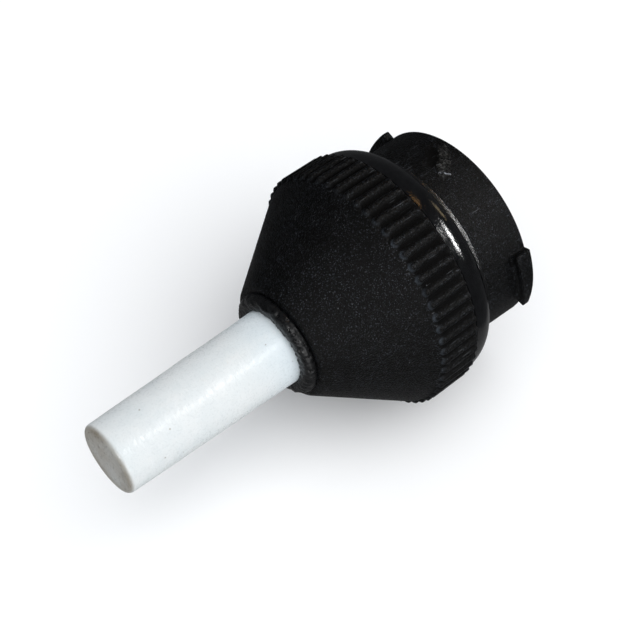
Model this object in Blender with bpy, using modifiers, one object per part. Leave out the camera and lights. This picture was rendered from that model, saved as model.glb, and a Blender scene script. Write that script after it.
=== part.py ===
"""Pneumatic exhaust muffler with a bayonet spigot and a white porous silencer element.

The muffler is turned about one axis. Each outline below is given as (station, radius) in
millimetres, where the station is the distance from the plane of the spigot's open rim towards
the element's closed tip. The axis lies along world X: the rim plane is at X = 0, the spigot
opens towards +X, the element points towards -X, and the index mark is on top.
"""

import math

import bmesh
import bpy
from mathutils import Matrix, Vector

MM = 0.001
GAP = 0.3                      # clearance between neighbouring pieces

# Bayonet spigot: a flanged tube that plugs into the machine's socket
BORE_R = 15.5                  # air passage through the spigot
RIM_R = 17.8                   # outer radius at the open rim
ROOT_R = 17.5                  # outer radius at the flange
ROOT_FILLET = 2.35
SHOULDER_R = 5.0               # the flange's polished edge is one arc of this radius
SHOULDER_CENTRE = (14.8, 16.4)
SHOULDER_SWEEP = 41.0          # degrees of that arc, from straight outwards to the rear face
WEB = 2.4                      # wall thickness of the flange
PILOT_LENGTH = 4.6             # how far the pilot ring reaches into the hood
PILOT_WALL = 2.0

# Bayonet lugs and index mark on the spigot
LUG_ANGLES = (79.0, -79.0, 180.0)   # degrees from the top, about the axis
LUG_SPAN = 37.0
LUG_R = 19.35
LUG_BACK = 0.05                # the lugs start just inside the rim
LUG_LEAD_IN = 0.9              # how far a lug's rear face slopes away from the rim
LUG_FRONT_DEEP = 3.45          # the locking face is a ramp between these stations
LUG_FRONT_SHALLOW = 1.7
LUG_CUTS = 9
INDEX_SPAN = 16.0
INDEX_R = 18.15
INDEX_STATIONS = (2.2, 6.2)
ROOT_DEPTH = 1.2               # how deep lugs and mark are rooted in the spigot's wall

# Hood: the conical cover with the ribbed hand grip
GRIP_R = 22.0
GRIP_BACK = 15.7               # the ribs end square at this station
BEND = 22.5                    # station where grip and cone would meet as a sharp corner
BEND_FILLET = 6.5
CONE_DEG = 35.6                # half angle of the cone
NOSE = 38.9                    # station of the cone's small end face
NOSE_FILLET = 0.9
WALL = 2.0
HOOD_BORE_R = 19.8
NECK_WALL = 2.5
NECK_HOLE_R = 8.5
RIBS = 60
GROOVE_DEPTH = 0.6
GROOVE_WIDTH = 1.15

# Neck grommet: the rubber bush that holds the element in the neck
HEAD_R = 9.25
HEAD_HEIGHT = 1.6
HEAD_FILLET = 1.3
BUSH_FLANGE_R = 9.3
BUSH_BACK = 31.8
BUSH_CHAMFER = 0.8
LIP_THICKNESS = 1.2
LIP_R = 5.0                    # air passage through the bush's stop lip

# Silencer element: a blind porous tube
SEAT_R = 6.69                  # straight part that sits in the bush
TIP_R = 6.17                   # the free part tapers to this radius
TIP = 73.3
TIP_FILLET = 0.9
TIP_WALL = 4.2
TUBE_BORE_R = 4.1

HOOD_STEPS = 120
SPIGOT_STEPS = 84
SMALL_STEPS = 64


def clear_scene():
    for old in list(bpy.data.objects):
        bpy.data.objects.remove(old, do_unlink=True)


def new_collection(name):
    group = bpy.data.collections.new(name)
    bpy.context.scene.collection.children.link(group)
    return group


def new_material(name, colour, roughness):
    material = bpy.data.materials.new(name)
    material.use_nodes = True
    shader = material.node_tree.nodes["Principled BSDF"]
    shader.inputs["Base Color"].default_value = (*colour, 1.0)
    shader.inputs["Roughness"].default_value = roughness
    shader.inputs["Metallic"].default_value = 0.0
    return material


def cone_radius(station):
    """Outer radius of the cone, before its corners are rounded."""
    return GRIP_R - (station - BEND) * math.tan(math.radians(CONE_DEG))


def arc(centre, radius, sweep_deg, steps):
    """Points of an arc that starts straight outwards and bends towards the rim."""
    station, r = centre
    turns = [math.radians(sweep_deg * i / steps) for i in range(steps + 1)]
    return [(station - radius * math.sin(t), r + radius * math.cos(t)) for t in turns]


def rounded(corners, steps=3):
    """Outline through (station, radius, fillet) corners, each fillet as an arc."""
    points = []
    for i, (station, r, fillet) in enumerate(corners):
        corner = Vector((station, r))
        if fillet == 0.0:
            points.append(tuple(corner))
            continue
        before = (Vector(corners[i - 1][:2]) - corner).normalized()
        after = (Vector(corners[(i + 1) % len(corners)][:2]) - corner).normalized()
        half = before.angle(after) / 2.0
        centre = corner + (before + after).normalized() * fillet / math.sin(half)
        first = corner + before * fillet / math.tan(half) - centre
        last = corner + after * fillet / math.tan(half) - centre
        sweep = first.angle_signed(last)
        for k in range(steps + 1):
            spoke = Matrix.Rotation(-sweep * k / steps, 2) @ first
            points.append(tuple(centre + spoke))
    return points


def place(obj, group, axis, material):
    group.objects.link(obj)
    obj.parent = axis
    obj.data.materials.append(material)


def turned_piece(name, outline, steps, group, axis, material):
    """Turn an outline about the axis. It starts down the outer side, and closes on itself
    unless it starts and ends on the axis."""
    mesh = bpy.data.meshes.new(name)
    points = [(r * MM, 0.0, station * MM) for station, r in outline]
    edges = [(i, i + 1) for i in range(len(points) - 1)]
    if outline[0][1] > 0.0:
        edges.append((len(points) - 1, 0))
    mesh.from_pydata(points, edges, [])
    obj = bpy.data.objects.new(name, mesh)
    place(obj, group, axis, material)
    screw = obj.modifiers.new("turn", "SCREW")
    screw.axis = "Z"
    screw.steps = steps
    screw.render_steps = steps
    screw.use_merge_vertices = True
    screw.merge_threshold = 0.00001
    screw.use_smooth_shade = True
    return obj


def blocks_mesh(name, blocks):
    """One mesh of unit cubes, each cut across its length and bent by a position function."""
    joined = bmesh.new()
    for cuts, position in blocks:
        first = len(joined.verts)
        cube = bmesh.ops.create_cube(joined, size=1.0)
        edges = {e for v in cube["verts"] for e in v.link_edges}
        along = [e for e in edges if e.verts[0].co.y != e.verts[1].co.y]
        if cuts:
            bmesh.ops.subdivide_edges(joined, edges=along, cuts=cuts)
        joined.verts.ensure_lookup_table()
        for v in joined.verts[first:]:
            v.co = position(*v.co)
    bmesh.ops.recalc_face_normals(joined, faces=joined.faces)
    mesh = bpy.data.meshes.new(name)
    joined.to_mesh(mesh)
    joined.free()
    return mesh


def on_axis(angle_deg, r, station):
    """Point at an angle from the top, a radius and a station, in metres."""
    turn = math.radians(angle_deg)
    return Vector((r * math.cos(turn) * MM, -r * math.sin(turn) * MM, station * MM))


def lug_position(middle_deg):
    """A lug rises from the spigot's wall, with a ramped front and a sloped rear face."""
    def position(x, y, z):
        angle = middle_deg - y * LUG_SPAN
        height = x + 0.5
        r = ROOT_R - ROOT_DEPTH + height * (LUG_R - ROOT_R + ROOT_DEPTH)
        back = LUG_BACK + height * LUG_LEAD_IN
        front = LUG_FRONT_SHALLOW + (y + 0.5) * (LUG_FRONT_DEEP - LUG_FRONT_SHALLOW)
        return on_axis(angle, r, front if z > 0.0 else back)
    return position


def index_position(x, y, z):
    """The index mark is a low pad on top of the spigot."""
    r = ROOT_R - ROOT_DEPTH + (x + 0.5) * (INDEX_R - ROOT_R + ROOT_DEPTH)
    near, far = INDEX_STATIONS
    return on_axis(y * INDEX_SPAN, r, far if z > 0.0 else near)


def groove_position(angle_deg):
    """A groove is a straight slot along the grip, open at the rear."""
    def position(x, y, z):
        r = GRIP_R - GROOVE_DEPTH + (x + 0.5) * 2.0
        station = BEND - 1.0 + z * (2.0 * (BEND - GRIP_BACK) + 4.0)
        point = Vector((r * MM, y * GROOVE_WIDTH * MM, station * MM))
        return Matrix.Rotation(math.radians(angle_deg), 3, "Z") @ point
    return position


def add_tool(name, mesh, tools, axis):
    tool = bpy.data.objects.new(name, mesh)
    tools.objects.link(tool)
    tool.parent = axis
    tool.hide_render = True
    tool.display_type = "WIRE"
    return tool


def add_boolean(obj, tool, operation):
    boolean = obj.modifiers.new(tool.name, "BOOLEAN")
    boolean.operation = operation
    boolean.solver = "EXACT"
    boolean.object = tool


def make_hood(group, tools, axis, material):
    neck_back = NOSE - NECK_WALL
    skin = WALL / math.cos(math.radians(CONE_DEG))
    inner_bend = BEND - (HOOD_BORE_R + skin - GRIP_R) / math.tan(math.radians(CONE_DEG))
    outline = rounded([
        (NOSE, NECK_HOLE_R, 0.0),
        (NOSE, cone_radius(NOSE), NOSE_FILLET),
        (BEND, GRIP_R, BEND_FILLET),
        (GRIP_BACK, GRIP_R, 0.0),
        (GRIP_BACK, HOOD_BORE_R, 0.0),
        (inner_bend, HOOD_BORE_R, BEND_FILLET - WALL),
        (neck_back, cone_radius(neck_back) - skin, 0.0),
        (neck_back, NECK_HOLE_R, 0.0),
    ])
    hood = turned_piece("hood", outline, HOOD_STEPS, group, axis, material)
    pitch = 360.0 / RIBS
    grooves = [(0, groove_position(i * pitch)) for i in range(RIBS)]
    add_boolean(hood, add_tool("grip_grooves", blocks_mesh("grip_grooves", grooves), tools, axis),
                "DIFFERENCE")


def make_spigot(group, tools, axis, material):
    pilot_r = HOOD_BORE_R - GAP
    flange_front = GRIP_BACK - GAP
    pilot_tip = flange_front + PILOT_LENGTH
    shoulder = arc(SHOULDER_CENTRE, SHOULDER_R, SHOULDER_SWEEP, 4)
    flange_r = shoulder[0][1]
    flange_back = shoulder[-1][0]
    web_front = flange_back + WEB
    outline = rounded([
        (pilot_tip, pilot_r - PILOT_WALL, 0.0),
        (pilot_tip, pilot_r, 0.5),
        (flange_front, pilot_r, 0.0),
        (flange_front, flange_r, 0.0),
        *((station, r, 0.0) for station, r in shoulder),
        (flange_back, ROOT_R, ROOT_FILLET),
        (0.0, RIM_R, 0.0),
        (0.0, BORE_R, 0.0),
        (web_front, BORE_R, 0.0),
        (web_front, pilot_r - PILOT_WALL, 0.0),
    ])
    spigot = turned_piece("bayonet_spigot", outline, SPIGOT_STEPS, group, axis, material)
    pads = [(LUG_CUTS, lug_position(angle)) for angle in LUG_ANGLES]
    pads.append((3, index_position))
    add_boolean(spigot, add_tool("lugs_and_mark", blocks_mesh("lugs_and_mark", pads), tools, axis),
                "UNION")


def make_grommet(group, axis, material):
    bore_r = SEAT_R + GAP
    waist_r = NECK_HOLE_R - GAP
    head_back = NOSE + GAP
    flange_front = NOSE - NECK_WALL - GAP
    outline = rounded([
        (head_back + HEAD_HEIGHT, bore_r, 0.5),
        (head_back + HEAD_HEIGHT, HEAD_R, HEAD_FILLET),
        (head_back, HEAD_R, 0.0),
        (head_back, waist_r, 0.0),
        (flange_front, waist_r, 0.0),
        (flange_front, BUSH_FLANGE_R, 0.0),
        (BUSH_BACK + BUSH_CHAMFER, BUSH_FLANGE_R, 0.0),
        (BUSH_BACK, BUSH_FLANGE_R - BUSH_CHAMFER, 0.0),
        (BUSH_BACK, LIP_R, 0.0),
        (BUSH_BACK + LIP_THICKNESS, LIP_R, 0.0),
        (BUSH_BACK + LIP_THICKNESS, bore_r, 0.0),
    ])
    turned_piece("neck_grommet", outline, SMALL_STEPS, group, axis, material)


def make_element(group, axis, material):
    seat_end = BUSH_BACK + LIP_THICKNESS + GAP
    head_front = NOSE + GAP + HEAD_HEIGHT
    outline = rounded([
        (TIP, 0.0, 0.0),
        (TIP, TIP_R, TIP_FILLET),
        (head_front, SEAT_R, 0.0),
        (seat_end, SEAT_R, 0.0),
        (seat_end, TUBE_BORE_R, 0.0),
        (TIP - TIP_WALL, TUBE_BORE_R, 0.0),
        (TIP - TIP_WALL, 0.0, 0.0),
    ])
    turned_piece("silencer_element", outline, SMALL_STEPS, group, axis, material)


def main():
    clear_scene()
    group = new_collection("pneumatic_muffler")
    tools = new_collection("cutters")
    axis = bpy.data.objects.new("muffler_axis", None)
    axis.rotation_euler = (0.0, math.radians(-90.0), 0.0)
    group.objects.link(axis)

    black = new_material("grained_black_plastic", (0.012, 0.013, 0.015), 0.55)
    rubber = new_material("black_rubber", (0.010, 0.011, 0.012), 0.42)
    white = new_material("porous_white_plastic", (0.80, 0.85, 0.86), 0.60)

    make_hood(group, tools, axis, black)
    make_spigot(group, tools, axis, black)
    make_grommet(group, axis, rubber)
    make_element(group, axis, white)


main()
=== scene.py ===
"""Looks of the pneumatic muffler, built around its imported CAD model.

Lengths are in millimetres and are turned into metres only when a mesh is made. A station is the
distance from the plane of the spigot's open rim towards the element's closed tip, so world
X = -station. Angles about the axis start at the top and grow towards the camera's side (-Y).
"""

import math

import bmesh
import bpy
import numpy as np
from mathutils import Euler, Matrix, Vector


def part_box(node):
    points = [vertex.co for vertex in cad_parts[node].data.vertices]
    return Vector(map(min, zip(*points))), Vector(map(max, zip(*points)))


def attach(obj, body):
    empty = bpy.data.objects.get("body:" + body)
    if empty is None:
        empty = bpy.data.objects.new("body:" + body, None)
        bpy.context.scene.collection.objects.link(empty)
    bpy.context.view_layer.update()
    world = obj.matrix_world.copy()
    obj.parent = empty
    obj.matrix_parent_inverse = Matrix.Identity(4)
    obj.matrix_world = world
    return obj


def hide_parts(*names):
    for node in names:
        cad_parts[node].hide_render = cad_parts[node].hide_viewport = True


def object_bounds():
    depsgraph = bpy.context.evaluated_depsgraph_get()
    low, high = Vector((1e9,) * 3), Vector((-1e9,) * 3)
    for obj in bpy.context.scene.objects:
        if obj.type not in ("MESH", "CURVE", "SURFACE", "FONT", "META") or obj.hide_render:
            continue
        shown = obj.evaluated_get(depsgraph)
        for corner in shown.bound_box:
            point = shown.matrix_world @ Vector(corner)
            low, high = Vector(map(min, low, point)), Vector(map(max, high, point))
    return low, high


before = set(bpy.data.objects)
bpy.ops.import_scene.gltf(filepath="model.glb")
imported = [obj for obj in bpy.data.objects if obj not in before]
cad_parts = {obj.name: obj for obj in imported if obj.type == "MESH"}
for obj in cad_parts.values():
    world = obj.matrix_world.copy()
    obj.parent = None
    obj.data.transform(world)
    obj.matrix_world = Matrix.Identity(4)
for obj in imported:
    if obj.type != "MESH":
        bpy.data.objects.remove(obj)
cad_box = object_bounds()

MM = 0.001

# Where the CAD pieces end, read from the frame
RIM = -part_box("bayonet_spigot")[1][0] / MM
TIP = -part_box("silencer_element")[0][0] / MM
SEAT_END = -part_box("silencer_element")[1][0] / MM
NOSE = -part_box("hood")[0][0] / MM
GRIP_BACK = -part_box("hood")[1][0] / MM
HEAD_FRONT = -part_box("neck_grommet")[0][0] / MM
BUSH_BACK = -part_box("neck_grommet")[1][0] / MM
GRIP_R = 22.0

# Camera: where it stands, what it looks at and how it is tilted
CAMERA_AT = (-125.4, -96.7, 185.8)
LOOKS_AT = (-30.1, 2.6, -1.7)
CAMERA_ROLL = 3.36
LENS = 81.6

# Lights that only shine in gloss: name, direction, distance, size, power, roll and colour
LIT_MIDDLE = (-0.030, 0.0, 0.0)
GLINTS = (
    ("low_window", (-0.42, -0.89, 0.14), 0.55, (0.26, 0.20), 0.95),
    ("floor_bounce", (-0.2, -0.2, -1.0), 0.0215, (0.12, 0.12), 0.006),
    ("flash", (-0.73, -0.44, 0.53), 0.50, (0.08, 0.08), 0.8),
    ("side_strip", (0.70, -0.45, 0.55), 0.50, (0.17, 0.05), 1.25, 38.0),
    ("rod_strip", (0.35, -0.50, 0.79), 0.50, (0.16, 0.03), 0.55),
    ("warm_strip", (0.42, 0.11, 0.90), 0.50, (0.08, 0.022), 0.10, 30.0, (1.0, 0.55, 0.2)),
    ("low_warm_strip", (0.926, -0.017, 0.377), 0.2025, (0.032, 0.016), 0.006, 38.0,
     (1.0, 0.82, 0.5)),
)

# The sky's strength for each kind of ray, and the floor
SKY_IN_GLOSS = 0.07
SKY_ON_MATT = 0.50
SKY_SEEN = 0.95
FLOOR_SIZE = 4.0
FLOOR_GAP = 0.00002

# Hood
CONE_DEG = 35.6
BEND = 22.5                     # station where the cone would reach the grip radius
RIBS = 60
RIB_HEIGHT = 0.6
RIB_HALF_WIDTH = 0.80
RIB_CROWN = 0.16
RIB_FOOT = 1.0
RIB_FRONT = 23.55
BASE_R = GRIP_R - RIB_HEIGHT
HOOD_BORE_R = 19.8
WALL = 2.0
NECK_WALL = 2.5
NECK_HOLE_R = 8.5
SEAM = 0.06
COLUMNS_PER_RIB = 16
OUTER_SIDE_R = 20.3             # the hood's outer side is beyond this, its bore is not
MARKED_R = 20.6
RIB_CAP = 0.02                  # keeps the ribs just inside the CAD box

# Spigot
RIM_R = 17.8
ROOT_R = 17.5
BORE_R = 15.5
ROOT_FILLET = 2.35
SHOULDER_R = 5.0
SHOULDER_CENTRE = (14.8, 16.4)
SHOULDER_SWEEP = 41.0
WEB = 2.4
PILOT_LENGTH = 4.6
PILOT_WALL = 2.0
POLISHED_R = 19.9
PAD_ROOT = 0.9                  # how deep lugs and mark are rooted in the spigot's wall
LUG_ANGLES = (79.0, -79.0, 180.0)
LUG_SPAN = 37.0
LUG_R = 19.35
LUG_BACK = (0.05, 0.22)
LUG_FRONT_DEEP = 3.45
LUG_FRONT_SHALLOW = 1.7
INDEX_MIDDLE = -2.0
INDEX_SPAN = 26.0
INDEX_STATIONS = (0.6, 7.4)
PATCH = ((-2.9, 1.9), (0.5, 5.0))
BURR = ((0.35, 6.15), (1.7, 4.8))
# Painted shadow beside the index patch, from and to (along, station)
PATCH_SHADOW = ((-4.3, 3.1), (-1.6, 5.5))

# Grommet and element
ROD_R = 6.69
ROD_TIP_R = 6.17
TUBE_BORE_R = 4.1
TIP_WALL = 4.2
BUSH_R = 6.72
HEAD_R = 9.25
BUSH_FLANGE_R = 9.3
BUSH_BACK_R = 8.5
BUSH_CHAMFER = 0.8
LIP_R = 5.0
LIP_THICKNESS = 1.2


def cone_radius(station):
    """Outer radius of the cone at a station."""
    return GRIP_R - (station - BEND) * math.tan(math.radians(CONE_DEG))


# ---------------------------------------------------------------- outlines and turned meshes

def fillet(before, corner, after, radius, steps):
    """Arc that rounds one corner of an outline."""
    corner = np.array(corner, float)
    a = np.array(before) - corner
    b = np.array(after) - corner
    a /= np.linalg.norm(a)
    b /= np.linalg.norm(b)
    half = math.acos(np.clip(a @ b, -1.0, 1.0)) / 2.0
    centre = corner + (a + b) / np.linalg.norm(a + b) * radius / math.sin(half)
    first = corner + a * radius / math.tan(half) - centre
    last = corner + b * radius / math.tan(half) - centre
    sweep = math.pi - 2.0 * half
    points = []
    for i in range(steps + 1):
        t = i / steps
        spoke = (math.sin((1 - t) * sweep) * first + math.sin(t * sweep) * last) / math.sin(sweep)
        points.append(tuple(centre + spoke))
    return points


def outline(corners, spacing=1.0, steps=8):
    """Fine outline through (station, radius, fillet) corners, straight runs cut at a spacing."""
    rough = []
    for i, (station, r, radius) in enumerate(corners):
        if radius:
            before = corners[i - 1][:2]
            after = corners[(i + 1) % len(corners)][:2]
            rough += fillet(before, (station, r), after, radius, steps)
        else:
            rough.append((station, r))
    closed = corners[0][1] > 0.0
    ends = rough[1:] + rough[:1] if closed else rough[1:]
    fine = []
    for start, end in zip(rough, ends):
        cuts = max(1, round(math.dist(start, end) / spacing))
        for k in range(cuts):
            fine.append(tuple(np.array(start) + (np.array(end) - np.array(start)) * k / cuts))
    return fine if closed else fine + rough[-1:]


def arc(centre, radius, sweep_deg, steps):
    """Arc that starts straight outwards and bends towards the rim."""
    turns = [math.radians(sweep_deg * i / steps) for i in range(steps + 1)]
    return [(centre[0] - radius * math.sin(t), centre[1] + radius * math.cos(t)) for t in turns]


def turned(name, points, columns, shape=None):
    """Closed mesh of an outline turned about the axis. shape moves (station, r, angle)."""
    stations = np.array([p[0] for p in points])
    radii = np.array([p[1] for p in points])
    on_axis = radii[0] == 0.0
    rows = len(points)
    angles = np.arange(columns) * 2.0 * math.pi / columns
    s = np.repeat(stations[:, None], columns, axis=1)
    r = np.repeat(radii[:, None], columns, axis=1)
    a = np.repeat(angles[None, :], rows, axis=0)
    if shape:
        s, r = shape(s, r, a)
    xyz = np.stack([-s, -r * np.sin(a), r * np.cos(a)], axis=-1).reshape(-1, 3) * MM
    verts = [tuple(v) for v in xyz]
    faces = []
    for i in range(rows if not on_axis else rows - 1):
        j = (i + 1) % rows
        for k in range(columns):
            m = (k + 1) % columns
            quad = [i * columns + k, j * columns + k, j * columns + m, i * columns + m]
            faces.append(quad[::-1])
    mesh = bpy.data.meshes.new(name)
    mesh.from_pydata(verts, [], faces)
    if on_axis:
        cleaned = bmesh.new()
        cleaned.from_mesh(mesh)
        bmesh.ops.remove_doubles(cleaned, verts=cleaned.verts, dist=0.000001)
        cleaned.to_mesh(mesh)
        cleaned.free()
    mesh.shade_smooth()
    mesh.set_sharp_from_angle(angle=math.radians(40.0))
    return mesh


def add_object(name, mesh, *materials):
    piece = bpy.data.objects.new(name, mesh)
    bpy.context.scene.collection.objects.link(piece)
    for material in materials:
        mesh.materials.append(material)
    return piece


def smoothstep(low, high, x):
    t = np.clip((x - low) / (high - low), 0.0, 1.0)
    return t * t * (3.0 - 2.0 * t)


def wave_noise(*coordinates, seed=0, octaves=3):
    """Smooth repeatable noise between -1 and 1, made of sine waves."""
    random = np.random.default_rng(seed)
    total = np.zeros_like(coordinates[0])
    weight = 0.0
    for octave in range(octaves):
        strength = 0.6 ** octave
        for _ in range(6):
            way = random.normal(size=len(coordinates)) * 1.7 ** octave
            phase = random.uniform(0.0, 2.0 * math.pi)
            total += strength * np.sin(sum(w * c for w, c in zip(way, coordinates)) + phase)
        weight += strength * 6.0 ** 0.5
    return total / weight


def point_noise(u, v, seed):
    """Wave noise at one point, as a plain number."""
    return float(wave_noise(np.array(u), np.array(v), seed=seed))


# ---------------------------------------------------------------- materials

# Pale bluish colour of the rib noses: partly worn plastic, partly a painted highlight
RUBBED_AND_HIGHLIGHT = (0.028, 0.034, 0.042)


def new_material(name):
    material = bpy.data.materials.new(name)
    material.use_nodes = True
    nodes = material.node_tree.nodes
    return material, nodes, material.node_tree.links, nodes["Principled BSDF"]


def texture(nodes, links, kind, scale, **settings):
    """Texture node in the piece's own coordinates. scale is in features per metre."""
    place = nodes.new("ShaderNodeTexCoord")
    node = nodes.new(kind)
    links.new(place.outputs["Object"], node.inputs["Vector"])
    node.inputs["Scale"].default_value = scale
    for key, value in settings.items():
        if key in node.inputs:
            node.inputs[key].default_value = value
        else:
            setattr(node, key, value)
    return node


def stretch(nodes, links, node, scale, rotation):
    """Draws a texture out along one direction, for hairlines and scratches."""
    mapping = nodes.new("ShaderNodeMapping")
    mapping.inputs["Scale"].default_value = scale
    mapping.inputs["Rotation"].default_value = rotation
    links.new(node.inputs["Vector"].links[0].from_socket, mapping.inputs["Vector"])
    links.new(mapping.outputs["Vector"], node.inputs["Vector"])


def attribute(nodes, name):
    """Value stored on the mesh's points; it is 0 where a mesh has none of that name."""
    node = nodes.new("ShaderNodeAttribute")
    node.attribute_name = name
    return node.outputs["Fac"]


def ramp(nodes, links, source, *stops):
    """Colour ramp over a socket; a stop is (position, colour or grey)."""
    node = nodes.new("ShaderNodeValToRGB")
    links.new(source, node.inputs["Fac"])
    elements = node.color_ramp.elements
    while len(elements) < len(stops):
        elements.new(0.5)
    for element, (position, colour) in zip(elements, stops):
        element.position = position
        grey = isinstance(colour, float)
        element.color = (colour,) * 3 + (1.0,) if grey else (*colour, 1.0)
    return node.outputs["Color"]


def mix(nodes, links, factor, first, second, blend="MIX"):
    node = nodes.new("ShaderNodeMix")
    node.data_type = "RGBA"
    node.blend_type = blend
    for socket, value in ((node.inputs["Factor"], factor), (node.inputs["A"], first),
                          (node.inputs["B"], second)):
        if isinstance(value, bpy.types.NodeSocket):
            links.new(value, socket)
        else:
            socket.default_value = value if isinstance(value, float) else (*value, 1.0)
    return node.outputs["Result"]


def bump(nodes, links, height, distance, strength, under=None):
    node = nodes.new("ShaderNodeBump")
    node.inputs["Distance"].default_value = distance
    node.inputs["Strength"].default_value = strength
    links.new(height, node.inputs["Height"])
    if under:
        links.new(under, node.inputs["Normal"])
    return node.outputs["Normal"]


def grained_plastic(name, shade, glint_shade, roughness, grain_height, blotches=0.0):
    """Black plastic with a spark-eroded grain, glinting peaks, pale rib noses that are partly worn and
    partly a painted highlight, painted shade between the ribs and beside the index patch, a painted
    highlight along the burr, and pale dust.

    The blotches, from 0 to 1, say how unevenly light and dark a scuffed surface is.
    """
    material, nodes, links, shader = new_material(name)
    grain = texture(nodes, links, "ShaderNodeTexNoise", 3300.0, Detail=2.5, Roughness=0.6)
    pits = texture(nodes, links, "ShaderNodeTexVoronoi", 3600.0, Randomness=1.0)
    glints = texture(nodes, links, "ShaderNodeTexNoise", 4700.0, Detail=1.0, Roughness=0.5)
    swell = texture(nodes, links, "ShaderNodeTexNoise", 240.0, Detail=4.0, Roughness=0.55)
    dust = texture(nodes, links, "ShaderNodeTexVoronoi", 260.0, Randomness=1.0)
    nose_wear_and_highlight = attribute(nodes, "nose_wear_and_highlight")
    rib = attribute(nodes, "rib")
    painted_shade = attribute(nodes, "painted_shade")
    hairs = texture(nodes, links, "ShaderNodeTexNoise", 1.0, Detail=0.0)
    stretch(nodes, links, hairs, (330.0, 5200.0, 5200.0), (0.5, 0.35, 0.9))

    dark = tuple(0.3 * c for c in shade)
    light = tuple(2.4 * c for c in shade)
    mottled = ramp(nodes, links, grain.outputs["Fac"], (0.38, dark), (0.52, shade), (0.70, light))
    glint = ramp(nodes, links, glints.outputs["Fac"], (0.61, 0.0), (0.72, 1.0))
    colour = mix(nodes, links, glint, mottled, glint_shade)
    # Rib noses: pale crescents, partly worn and partly a painted highlight
    rubbed_and_highlight = mix(nodes, links, glint, RUBBED_AND_HIGHLIGHT, tuple(2.2 * c for c in RUBBED_AND_HIGHLIGHT))
    colour = mix(nodes, links, nose_wear_and_highlight, colour, rubbed_and_highlight)
    # Painted shade: near-black between the ribs and beside the index patch
    colour = mix(nodes, links, painted_shade, colour, tuple(0.12 * c for c in shade))
    scratches = ramp(nodes, links, hairs.outputs["Fac"], (0.775, 0.0), (0.83, 1.0))
    colour = mix(nodes, links, scratches, colour, (0.050, 0.053, 0.057))
    # Painted highlight: pale along the burr's crest
    colour = mix(nodes, links, attribute(nodes, "burr"), colour, (0.34, 0.36, 0.40))
    cloudy = ramp(nodes, links, swell.outputs["Fac"], (0.35, 0.65), (0.65, 1.25))
    colour = mix(nodes, links, 1.0, colour, cloudy, blend="MULTIPLY")
    patches = texture(nodes, links, "ShaderNodeTexNoise", 1500.0, Detail=1.5, Roughness=0.6)
    blotchy = ramp(nodes, links, patches.outputs["Fac"], (0.38, 1.0 - blotches), (0.62, 1.0 + blotches))
    colour = mix(nodes, links, 1.0, colour, blotchy, blend="MULTIPLY")
    specks = ramp(nodes, links, dust.outputs["Distance"], (0.018, 1.0), (0.032, 0.0))
    colour = mix(nodes, links, specks, colour, (0.08, 0.084, 0.088))
    links.new(colour, shader.inputs["Base Color"])

    rough = ramp(nodes, links, grain.outputs["Fac"],
                 (0.35, roughness + 0.10), (0.65, roughness - 0.10))
    rough = mix(nodes, links, rib, rough, (0.40, 0.40, 0.40))
    rough = mix(nodes, links, nose_wear_and_highlight, rough, (0.28, 0.28, 0.28))
    rough = mix(nodes, links, painted_shade, rough, (0.95, 0.95, 0.95))
    links.new(rough, shader.inputs["Roughness"])
    shader.inputs["Specular IOR Level"].default_value = 0.15
    normal = bump(nodes, links, pits.outputs["Distance"], grain_height, 0.7)
    normal = bump(nodes, links, grain.outputs["Fac"], 2.0 * grain_height, 1.0, normal)
    links.new(normal, shader.inputs["Normal"])
    return material


def polished_plastic(name, roughness, specular, grain_height):
    """Where the mould leaves the plastic smooth, with a haze and the finest grain."""
    material, nodes, links, shader = new_material(name)
    haze = texture(nodes, links, "ShaderNodeTexNoise", 900.0, Detail=4.0, Roughness=0.6)
    fine = texture(nodes, links, "ShaderNodeTexNoise", 3600.0, Detail=2.0, Roughness=0.5)
    colour = ramp(nodes, links, haze.outputs["Fac"], (0.3, (0.0015, 0.0015, 0.0018)),
                  (0.7, (0.004, 0.0042, 0.0048)))
    links.new(colour, shader.inputs["Base Color"])
    rough = ramp(nodes, links, haze.outputs["Fac"],
                 (0.3, 0.7 * roughness), (0.72, 1.3 * roughness))
    links.new(rough, shader.inputs["Roughness"])
    shader.inputs["Specular IOR Level"].default_value = specular
    normal = bump(nodes, links, fine.outputs["Fac"], grain_height, 0.6)
    links.new(normal, shader.inputs["Normal"])
    return material


def grommet_rubber():
    material, nodes, links, shader = new_material("dimpled_black_rubber")
    lumps = texture(nodes, links, "ShaderNodeTexNoise", 1300.0, Detail=3.0, Roughness=0.55)
    fine = texture(nodes, links, "ShaderNodeTexNoise", 3800.0, Detail=2.0, Roughness=0.6)
    colour = ramp(nodes, links, lumps.outputs["Fac"], (0.3, (0.0012, 0.0012, 0.0014)),
                  (0.7, (0.005, 0.0056, 0.0064)))
    links.new(colour, shader.inputs["Base Color"])
    rough = ramp(nodes, links, lumps.outputs["Fac"], (0.35, 0.22), (0.65, 0.44))
    links.new(rough, shader.inputs["Roughness"])
    shader.inputs["Specular IOR Level"].default_value = 0.40
    normal = bump(nodes, links, lumps.outputs["Fac"], 0.00024, 0.7)
    normal = bump(nodes, links, fine.outputs["Fac"], 0.00010, 0.6, normal)
    links.new(normal, shader.inputs["Normal"])
    return material


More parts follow.
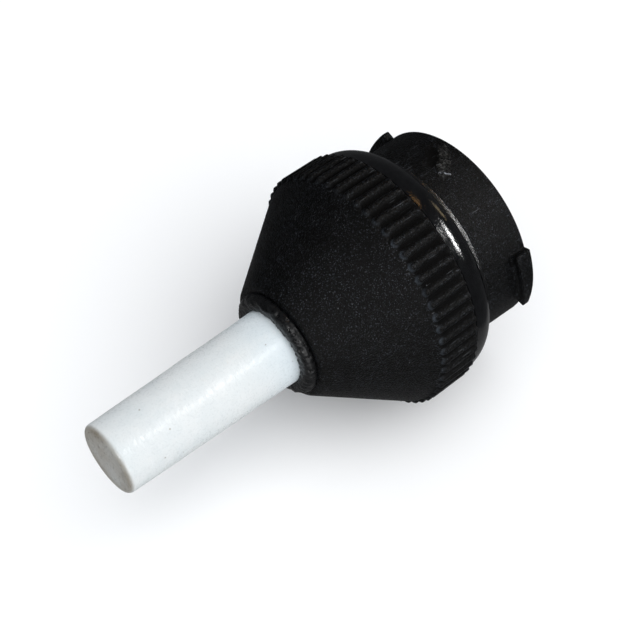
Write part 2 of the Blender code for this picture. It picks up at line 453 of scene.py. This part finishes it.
def porous_plastic():
    material, nodes, links, shader = new_material("porous_white_plastic")
    pores = texture(nodes, links, "ShaderNodeTexVoronoi", 3400.0, Randomness=1.0)
    grain = texture(nodes, links, "ShaderNodeTexNoise", 2600.0, Detail=3.0, Roughness=0.6)
    cloud = texture(nodes, links, "ShaderNodeTexNoise", 190.0, Detail=5.0, Roughness=0.6)
    dirt = texture(nodes, links, "ShaderNodeTexVoronoi", 420.0, Randomness=1.0)
    white = ramp(nodes, links, cloud.outputs["Fac"], (0.3, (0.655, 0.695, 0.705)),
                 (0.7, (0.715, 0.735, 0.735)))
    pitted = ramp(nodes, links, pores.outputs["Distance"], (0.10, (0.95, 0.96, 0.965)),
                  (0.30, (1.0, 1.0, 1.0)))
    colour = mix(nodes, links, 1.0, white, pitted, blend="MULTIPLY")
    specks = ramp(nodes, links, dirt.outputs["Distance"], (0.035, 1.0), (0.06, 0.0))
    colour = mix(nodes, links, specks, colour, (0.30, 0.26, 0.21))
    # Painted shade: the rod is tinted cooler and darker near the bush
    colour = mix(nodes, links, attribute(nodes, "painted_seat_shade"), colour, (0.58, 0.68, 0.74))
    patchy = ramp(nodes, links, cloud.outputs["Fac"], (0.3, 0.65), (0.7, 1.0))
    # The closed end is darkened brown: dirt and painted shade together
    dirt_and_shade_mask = mix(nodes, links, 1.0, attribute(nodes, "tip_dirt_and_shade"), patchy, blend="MULTIPLY")
    colour = mix(nodes, links, dirt_and_shade_mask, colour, (0.168, 0.138, 0.094))
    links.new(colour, shader.inputs["Base Color"])
    rough = ramp(nodes, links, grain.outputs["Fac"], (0.35, 0.22), (0.65, 0.46))
    links.new(rough, shader.inputs["Roughness"])
    shader.inputs["Subsurface Weight"].default_value = 0.35
    shader.inputs["Subsurface Radius"].default_value = (1.0, 1.0, 1.0)
    shader.inputs["Subsurface Scale"].default_value = 0.0012
    ripple = texture(nodes, links, "ShaderNodeTexNoise", 1.0, Detail=2.5, Roughness=0.6)
    stretch(nodes, links, ripple, (1300.0, 420.0, 420.0), (0.0, 0.25, 0.35))
    normal = bump(nodes, links, ripple.outputs["Fac"], 0.00018, 0.7)
    normal = bump(nodes, links, grain.outputs["Fac"], 0.00002, 0.5, normal)
    links.new(normal, shader.inputs["Normal"])
    return material


def floor_material():
    material, nodes, links, shader = new_material("pale_floor")
    soft = texture(nodes, links, "ShaderNodeTexNoise", 9.0, Detail=2.0)
    colour = ramp(nodes, links, soft.outputs["Fac"], (0.3, (0.93, 0.932, 0.935)),
                  (0.7, (0.95, 0.952, 0.955)))
    links.new(colour, shader.inputs["Base Color"])
    shader.inputs["Roughness"].default_value = 0.9
    shader.inputs["Specular IOR Level"].default_value = 0.1
    return material


# ---------------------------------------------------------------- pieces

def rib_height(station, angle):
    """Height of the ribs as a share of RIB_HEIGHT: rounded bars that end in rounded noses."""
    pitch = 2.0 * math.pi / RIBS
    off = angle % pitch - pitch / 2.0
    across = np.abs(off) * GRIP_R
    past = np.maximum(station - (RIB_FRONT - RIB_HALF_WIDTH), 0.0)
    flank = 1.0 - smoothstep(RIB_CROWN, RIB_FOOT, np.hypot(across, past))
    return flank * smoothstep(GRIP_BACK - 0.05, GRIP_BACK + 0.28, station)


def rib_shape(station, r, angle):
    """Raises the ribs out of the grip's outer side."""
    outside = (r > OUTER_SIDE_R) & (station > GRIP_BACK - 0.5)
    over_cone = np.maximum(0.0, BASE_R - r) * (station > 20.0)
    lift = (RIB_HEIGHT + over_cone) * rib_height(station, angle)
    return station, np.where(outside, np.minimum(r + lift, GRIP_R - RIB_CAP), r)


def add_rib_marks(mesh):
    """Stores how high each point is on a rib, the pale crescent round each nose, partly worn and partly
    a painted highlight, and painted shade between the ribs.

    The crescents are painted strongest on the side towards the camera, where the light falls.
    """
    co = np.empty(len(mesh.vertices) * 3)
    mesh.vertices.foreach_get("co", co)
    x, y, z = co.reshape(-1, 3).T / MM
    outside = np.hypot(y, z) > MARKED_R
    angle = np.degrees(np.arctan2(-y, z))
    height = rib_height(-x, np.radians(angle)) * outside
    nose = smoothstep(RIB_FRONT - 1.2, RIB_FRONT - 0.5, -x)
    # Painted shade between the ribs, fading out at both ends of the ribs
    painted_shade = (1.0 - height) * outside * smoothstep(GRIP_BACK, GRIP_BACK + 0.5, -x)
    painted_shade *= 1.0 - smoothstep(RIB_FRONT - 0.9, RIB_FRONT, -x)
    add_attribute(mesh, "rib", height)
    crescent = smoothstep(0.05, 0.25, height) * (1.0 - smoothstep(0.35, 0.80, height))
    # Painted highlight: the crescents are strongest on the side towards the camera
    camera_side = smoothstep(-10.0, 30.0, angle) * (1.0 - smoothstep(60.0, 105.0, angle))
    add_attribute(mesh, "nose_wear_and_highlight", crescent * nose * (0.15 + 0.85 * camera_side))
    add_attribute(mesh, "painted_shade", painted_shade)


def add_attribute(mesh, name, values):
    mesh.attributes.new(name, "FLOAT", "POINT").data.foreach_set("value", values)


def make_hood(black):
    skin = WALL / math.cos(math.radians(CONE_DEG))
    slope = math.tan(math.radians(CONE_DEG))
    base_bend = BEND + RIB_HEIGHT / slope
    inner_bend = BEND - (HOOD_BORE_R + skin - GRIP_R) / slope
    neck_back = NOSE - NECK_WALL
    back = GRIP_BACK - 0.08
    points = outline([
        (NOSE, NECK_HOLE_R, 0.25),
        (NOSE, cone_radius(NOSE), 0.95),
        (base_bend, BASE_R, 3.2),
        (back, BASE_R, 0.12),
        (back, HOOD_BORE_R, 0.2),
        (inner_bend, HOOD_BORE_R, 4.5),
        (neck_back, cone_radius(neck_back) - skin, 0.5),
        (neck_back, NECK_HOLE_R, 0.25),
    ], spacing=0.9)
    extra = [22.0 + 0.16 * i for i in range(12)] + [GRIP_BACK + 0.07 * i for i in range(6)]
    points = refine(points, extra, OUTER_SIDE_R)
    mesh = turned("hood_shell", points, RIBS * COLUMNS_PER_RIB, rib_shape)
    add_rib_marks(mesh)
    return add_object("hood_shell", mesh, black)


def refine(points, stations, least_r):
    """Adds rows at given stations where the outline's outer side passes them."""
    fine = []
    for i, (start, end) in enumerate(zip(points, points[1:] + points[:1])):
        fine.append(start)
        if min(start[1], end[1]) < least_r:
            continue
        low, high = sorted((start[0], end[0]))
        inside = sorted((s for s in stations if low + 0.02 < s < high - 0.02),
                        reverse=start[0] > end[0])
        for s in inside:
            t = (s - start[0]) / (end[0] - start[0])
            fine.append((s, start[1] + t * (end[1] - start[1])))
    return fine


def block(cuts, position, bevel):
    """Closed block of cube faces, bent by a position function and with rounded edges."""
    shaped = bmesh.new()
    cube = bmesh.ops.create_cube(shaped, size=1.0)
    edges = {e for v in cube["verts"] for e in v.link_edges}
    for axis, count in enumerate(cuts):
        lengthwise = [e for e in shaped.edges
                      if abs(e.verts[0].co[axis] - e.verts[1].co[axis]) > 0.5]
        if count:
            bmesh.ops.subdivide_edges(shaped, edges=lengthwise, cuts=count, use_grid_fill=True)
    for v in shaped.verts:
        v.co = position(*v.co)
    bmesh.ops.recalc_face_normals(shaped, faces=shaped.faces)
    if bevel:
        corners = [e for e in shaped.edges if e.calc_face_angle() > math.radians(35.0)]
        bmesh.ops.bevel(shaped, geom=corners, offset=bevel * MM, segments=4, profile=0.5,
                        affect="EDGES", clamp_overlap=True)
    return shaped


def on_axis(angle_deg, r, station):
    turn = math.radians(angle_deg)
    return Vector((-station, -r * math.sin(turn), r * math.cos(turn))) * MM


def lug_position(middle_deg):
    def position(x, y, z):
        height = x + 0.5
        root = ROOT_R - PAD_ROOT
        r = root + height * (LUG_R - root)
        visible = max(0.0, (r - RIM_R) / (LUG_R - RIM_R))
        back = LUG_BACK[0] + visible * LUG_BACK[1]
        front = LUG_FRONT_SHALLOW + (0.5 - y) * (LUG_FRONT_DEEP - LUG_FRONT_SHALLOW)
        return on_axis(middle_deg + y * LUG_SPAN, r, back + (z + 0.5) * (front - back))
    return position


def index_height(angle, station):
    """Height of the mark over the tube: a ragged slanting patch, wider at its foot, and a thin burr."""
    along = math.radians(angle) * ROOT_R
    blob = distance_to_line((along, station), *PATCH)
    widening = 0.22 - 0.10 * (station - PATCH[0][1])
    ragged = 0.30 * point_noise(along * 2.6, station * 2.6, 5)
    ragged += 0.42 * point_noise(along * 5.5, station * 5.5, 8)
    ragged += widening
    lumps = 0.22 * point_noise(along * 6.5, station * 6.5, 6)
    burr = distance_to_line((along, station), *BURR)
    blob_height = (0.42 + lumps) * (1.0 - smoothstep(0.80, 1.15, blob + ragged))
    burr_height = 0.24 * (1.0 - smoothstep(0.05, 0.26, burr))
    return max(float(blob_height), float(burr_height)) - 0.06


def distance_to_line(point, start, end):
    point, start, end = (np.array(p, float) for p in (point, start, end))
    way = end - start
    t = np.clip((point - start) @ way / (way @ way), 0.0, 1.0)
    return float(np.linalg.norm(point - start - t * way))


def index_position(x, y, z):
    angle = INDEX_MIDDLE + y * INDEX_SPAN
    station = INDEX_STATIONS[0] + (z + 0.5) * (INDEX_STATIONS[1] - INDEX_STATIONS[0])
    tube_r = RIM_R + (ROOT_R - RIM_R) * min(1.0, station / 9.0)
    if x < 0.0:
        return on_axis(angle, ROOT_R - PAD_ROOT, station)
    return on_axis(angle, tube_r + index_height(angle, station), station)


def make_spigot(black, polished, scuffed, satin):
    pilot_r = HOOD_BORE_R - 0.1
    flange_front = GRIP_BACK - 0.08 - SEAM
    pilot_tip = flange_front + PILOT_LENGTH
    shoulder = arc(SHOULDER_CENTRE, SHOULDER_R, SHOULDER_SWEEP, 14)
    flange_back = shoulder[-1][0] - 0.02
    web_front = flange_back + WEB
    points = outline([
        (pilot_tip, pilot_r - PILOT_WALL, 0.2),
        (pilot_tip, pilot_r, 0.5),
        (flange_front, pilot_r, 0.0),
        (flange_front, shoulder[0][1], 0.0),
        *((station, r, 0.0) for station, r in shoulder[:-1]),
        (*shoulder[-1], 0.12),
        (flange_back, ROOT_R, ROOT_FILLET - 0.15),
        (RIM, RIM_R, 0.22),
        (RIM, BORE_R, 0.3),
        (web_front, BORE_R, 0.3),
        (web_front, pilot_r - PILOT_WALL, 0.3),
    ], spacing=0.8)
    mesh = turned("bayonet_tube", points, 240)
    for face in mesh.polygons:
        station = -face.center.x / MM
        radius = math.hypot(face.center.y, face.center.z) / MM
        on_fillet = flange_back - ROOT_FILLET - 0.2 < station < flange_front
        if radius > POLISHED_R and station > flange_back - 0.1:
            face.material_index = 1
        elif ROOT_R - 0.1 < radius < POLISHED_R and on_fillet:
            face.material_index = 3
    spigot = add_object("bayonet_tube", mesh, black, polished, scuffed, satin)
    pads = [block((2, 14, 1), lug_position(angle), 0.28) for angle in LUG_ANGLES]
    pads.append(block((0, 55, 44), index_position, 0.0))
    for i, shaped in enumerate(pads):
        if i == len(pads) - 1:
            for face in shaped.faces:
                face.material_index = 2
        pad_mesh = bpy.data.meshes.new(f"pad_{i}")
        shaped.to_mesh(pad_mesh)
        shaped.free()
        pad_mesh.shade_smooth()
        pad_mesh.set_sharp_from_angle(angle=math.radians(40.0))
        pad = add_object(f"pad_{i}", pad_mesh, black, polished, scuffed, satin)
        join_by_union(spigot, pad)
    add_burr_highlight_and_patch_shadow(spigot.data)
    return spigot


def add_burr_highlight_and_patch_shadow(mesh):
    """Stores where the thin burr is, with a painted highlight along its crest, and the painted shadow
    beside the patch.
    """
    burr_highlights, patch_shadows = [], []
    for vertex in mesh.vertices:
        x, y, z = vertex.co / MM
        burr, patch_shadow = 9.0, 9.0
        if math.hypot(y, z) > ROOT_R - 0.1 and abs(y) < 7.0 and z > 0.0:
            place = (math.atan2(-y, z) * ROOT_R, -x)
            burr = distance_to_line(place, *BURR)
            patch_shadow = distance_to_line(place, *PATCH_SHADOW)
        # Painted highlight along the burr's crest, broken up by noise
        broken = 0.55 + 0.9 * point_noise(9.0 * y, 3.0 * x, 4)
        burr_highlights.append(float(min(1.0, max(0.1, broken)) * (1.0 - smoothstep(0.0, 0.10, burr))))
        # Painted shadow beside the patch
        patch_shadows.append(float(1.0 - smoothstep(0.4, 1.4, patch_shadow)))
    add_attribute(mesh, "burr", burr_highlights)
    add_attribute(mesh, "painted_shade", patch_shadows)


def join_by_union(piece, other):
    union = piece.modifiers.new("union", "BOOLEAN")
    union.operation = "UNION"
    union.solver = "EXACT"
    union.object = other
    graph = bpy.context.evaluated_depsgraph_get()
    joined = bpy.data.meshes.new_from_object(piece.evaluated_get(graph))
    piece.modifiers.clear()
    piece.data = joined
    bpy.data.objects.remove(other)


def bead_shape(station, r, angle):
    """The bush's head is uneven: lumps in the moulding move its surface a little."""
    x, y = np.cos(angle) * r, np.sin(angle) * r
    seen = smoothstep(NOSE - 0.1, NOSE + 0.5, station)
    near_rod = smoothstep(BUSH_R, BUSH_R + 0.5, r)
    lumps = wave_noise(x * 1.15, y * 1.15, station * 1.5, seed=3)
    fine = wave_noise(x * 3.2, y * 3.2, station * 3.6, seed=4)
    push = (0.09 * lumps + 0.09 * fine) * seen
    ragged_lip = 0.16 * fine * seen * (1.0 - near_rod)
    return station + push * near_rod * 0.8 + ragged_lip, r + push * near_rod * 0.6


def make_grommet(rubber):
    head_back = NOSE + 0.04
    flange_front = NOSE - NECK_WALL - 0.05
    points = outline([
        (HEAD_FRONT - 0.22, BUSH_R, 0.35),
        (HEAD_FRONT - 0.12, HEAD_R - 0.1, 1.35),
        (head_back, HEAD_R, 0.15),
        (head_back, NECK_HOLE_R - 0.05, 0.0),
        (flange_front, NECK_HOLE_R - 0.05, 0.0),
        (flange_front, BUSH_FLANGE_R, 0.2),
        (BUSH_BACK + BUSH_CHAMFER, BUSH_FLANGE_R, 0.3),
        (BUSH_BACK, BUSH_BACK_R, 0.3),
        (BUSH_BACK, LIP_R, 0.3),
        (BUSH_BACK + LIP_THICKNESS, LIP_R, 0.3),
        (BUSH_BACK + LIP_THICKNESS, BUSH_R, 0.2),
    ], spacing=0.22)
    return add_object("neck_bush", turned("neck_bush", points, 320, bead_shape), rubber)


def rod_shape(station, r, angle):
    """The sintered tube isn't perfectly round or straight-sided."""
    outer = smoothstep(TUBE_BORE_R + 0.8, TUBE_BORE_R + 1.6, r)
    free = smoothstep(HEAD_FRONT, HEAD_FRONT + 1.5, station)
    x, y = np.cos(angle) * 3.0, np.sin(angle) * 3.0
    swell = wave_noise(x * 0.8, y * 0.8, station * 0.35, seed=11)
    fine = wave_noise(x * 2.6, y * 2.6, station * 1.3, seed=12)
    return station, r + (0.035 * swell + 0.016 * fine - 0.03) * outer * free


def make_element(white):
    points = outline([
        (TIP, 0.0, 0.0),
        (TIP, ROD_TIP_R, 0.85),
        (HEAD_FRONT, ROD_R, 0.0),
        (SEAT_END, ROD_R, 0.3),
        (SEAT_END, TUBE_BORE_R, 0.3),
        (TIP - TIP_WALL, TUBE_BORE_R, 1.5),
        (TIP - TIP_WALL, 0.0, 0.0),
    ], spacing=0.55)
    mesh = turned("silencer_rod", points, 160, rod_shape)
    add_rod_marks(mesh)
    return add_object("silencer_rod", mesh, white)


def add_rod_marks(mesh):
    """Stores the darkening on the closed end, dirt and painted shade together, thickest near its rim,
    and the painted cooler shade near the bush.
    """
    co = np.empty(len(mesh.vertices) * 3)
    mesh.vertices.foreach_get("co", co)
    x, y, z = co.reshape(-1, 3).T / MM
    rim = 0.85 + 0.15 * smoothstep(3.0, 6.0, np.hypot(y, z))
    # Closed end: dirt and painted shade, thickest near its rim
    add_attribute(mesh, "tip_dirt_and_shade", 0.92 * rim * smoothstep(TIP - 0.9, TIP - 0.1, -x))
    # Painted shade near the bush, fading out over 9 mm
    add_attribute(mesh, "painted_seat_shade", 0.45 * (1.0 - smoothstep(HEAD_FRONT, HEAD_FRONT + 9.0, -x)))


# ---------------------------------------------------------------- camera, light and floor

def make_camera():
    data = bpy.data.cameras.new("camera")
    data.lens = LENS
    data.sensor_width = 36.0
    data.clip_start = 0.01
    camera = bpy.data.objects.new("camera", data)
    bpy.context.scene.collection.objects.link(camera)
    at = Vector(CAMERA_AT) * MM
    way = Vector(LOOKS_AT) * MM - at
    camera.location = at
    level = way.to_track_quat("-Z", "Y")
    roll = Euler((0.0, 0.0, math.radians(CAMERA_ROLL))).to_quaternion()
    camera.rotation_euler = (level @ roll).to_euler()
    bpy.context.scene.camera = camera


def area_light(name, towards, distance, size, power, roll_deg=0.0, colour=(1.0, 1.0, 1.0)):
    """Soft rectangular light in the given direction from the muffler's middle, facing it."""
    data = bpy.data.lights.new(name, "AREA")
    data.shape = "RECTANGLE"
    data.size, data.size_y = size
    data.energy = power
    data.color = colour
    light = bpy.data.objects.new(name, data)
    bpy.context.scene.collection.objects.link(light)
    middle = Vector(LIT_MIDDLE)
    light.location = middle + Vector(towards).normalized() * distance
    facing = (middle - light.location).to_track_quat("-Z", "Y")
    roll = Euler((0.0, 0.0, math.radians(roll_deg))).to_quaternion()
    light.rotation_euler = (facing @ roll).to_euler()
    return light


def glint_light(*settings):
    """Light that only shines in gloss, for a highlight that leaves matt surfaces as they are."""
    light = area_light(*settings)
    light.visible_diffuse = False
    light.visible_camera = False


def sky_light(towards, spread_deg, strength):
    """Wide even light over object and floor alike; glossy surfaces don't mirror it."""
    data = bpy.data.lights.new("sky", "SUN")
    data.energy = strength
    data.angle = math.radians(spread_deg)
    light = bpy.data.objects.new("sky", data)
    bpy.context.scene.collection.objects.link(light)
    light.rotation_euler = Vector(towards).to_track_quat("Z", "Y").to_euler()
    light.visible_glossy = False


def make_world():
    world = bpy.data.worlds.new("studio")
    bpy.context.scene.world = world
    world.use_nodes = True
    nodes, links = world.node_tree.nodes, world.node_tree.links
    background = nodes["Background"]
    background.inputs["Color"].default_value = (0.93, 0.96, 1.0, 1.0)
    path = nodes.new("ShaderNodeLightPath")
    strength = SKY_IN_GLOSS
    for ray, value in (("Is Diffuse Ray", SKY_ON_MATT), ("Is Camera Ray", SKY_SEEN)):
        choice = nodes.new("ShaderNodeMix")
        if isinstance(strength, float):
            choice.inputs["A"].default_value = strength
        else:
            links.new(strength, choice.inputs["A"])
        choice.inputs["B"].default_value = value
        links.new(path.outputs[ray], choice.inputs["Factor"])
        strength = choice.outputs["Result"]
    links.new(strength, background.inputs["Strength"])


def make_floor():
    mesh = bpy.data.meshes.new("floor")
    grid = bmesh.new()
    bmesh.ops.create_grid(grid, x_segments=8, y_segments=8, size=FLOOR_SIZE)
    grid.to_mesh(mesh)
    grid.free()
    floor = add_object("floor", mesh, floor_material())
    floor.location.z = cad_box[0][2] - FLOOR_GAP
    floor.visible_glossy = False


def main():
    bpy.context.scene.view_settings.view_transform = "Standard"
    make_camera()
    make_world()
    make_floor()
    sky_light((-0.05, -0.50, 0.92), 90.0, 2.45)
    for settings in GLINTS:
        glint_light(*settings)

    black = grained_plastic("grained_black_plastic", (0.0007, 0.00075, 0.0008),
                            (0.040, 0.046, 0.055), 0.46, 0.00012)
    scuffed = grained_plastic("scuffed_black_plastic", (0.0140, 0.0137, 0.0128),
                              (0.060, 0.062, 0.062), 0.56, 0.00016, 0.85)
    hood = make_hood(black)
    polished = polished_plastic("polished_black_plastic", 0.115, 0.6, 0.00004)
    satin = polished_plastic("satin_black_plastic", 0.20, 1.0, 0.00026)
    spigot = make_spigot(black, polished, scuffed, satin)
    bush = make_grommet(grommet_rubber())
    rod = make_element(porous_plastic())

    for piece, node, body, slot in (
            (hood, "hood", "housing", "hood_plastic"),
            (spigot, "bayonet_spigot", "housing", "spigot_plastic"),
            (bush, "neck_grommet", "housing", "grommet_rubber"),
            (rod, "silencer_element", "element", "porous_plastic")):
        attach(piece, body)
        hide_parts(node)


main()
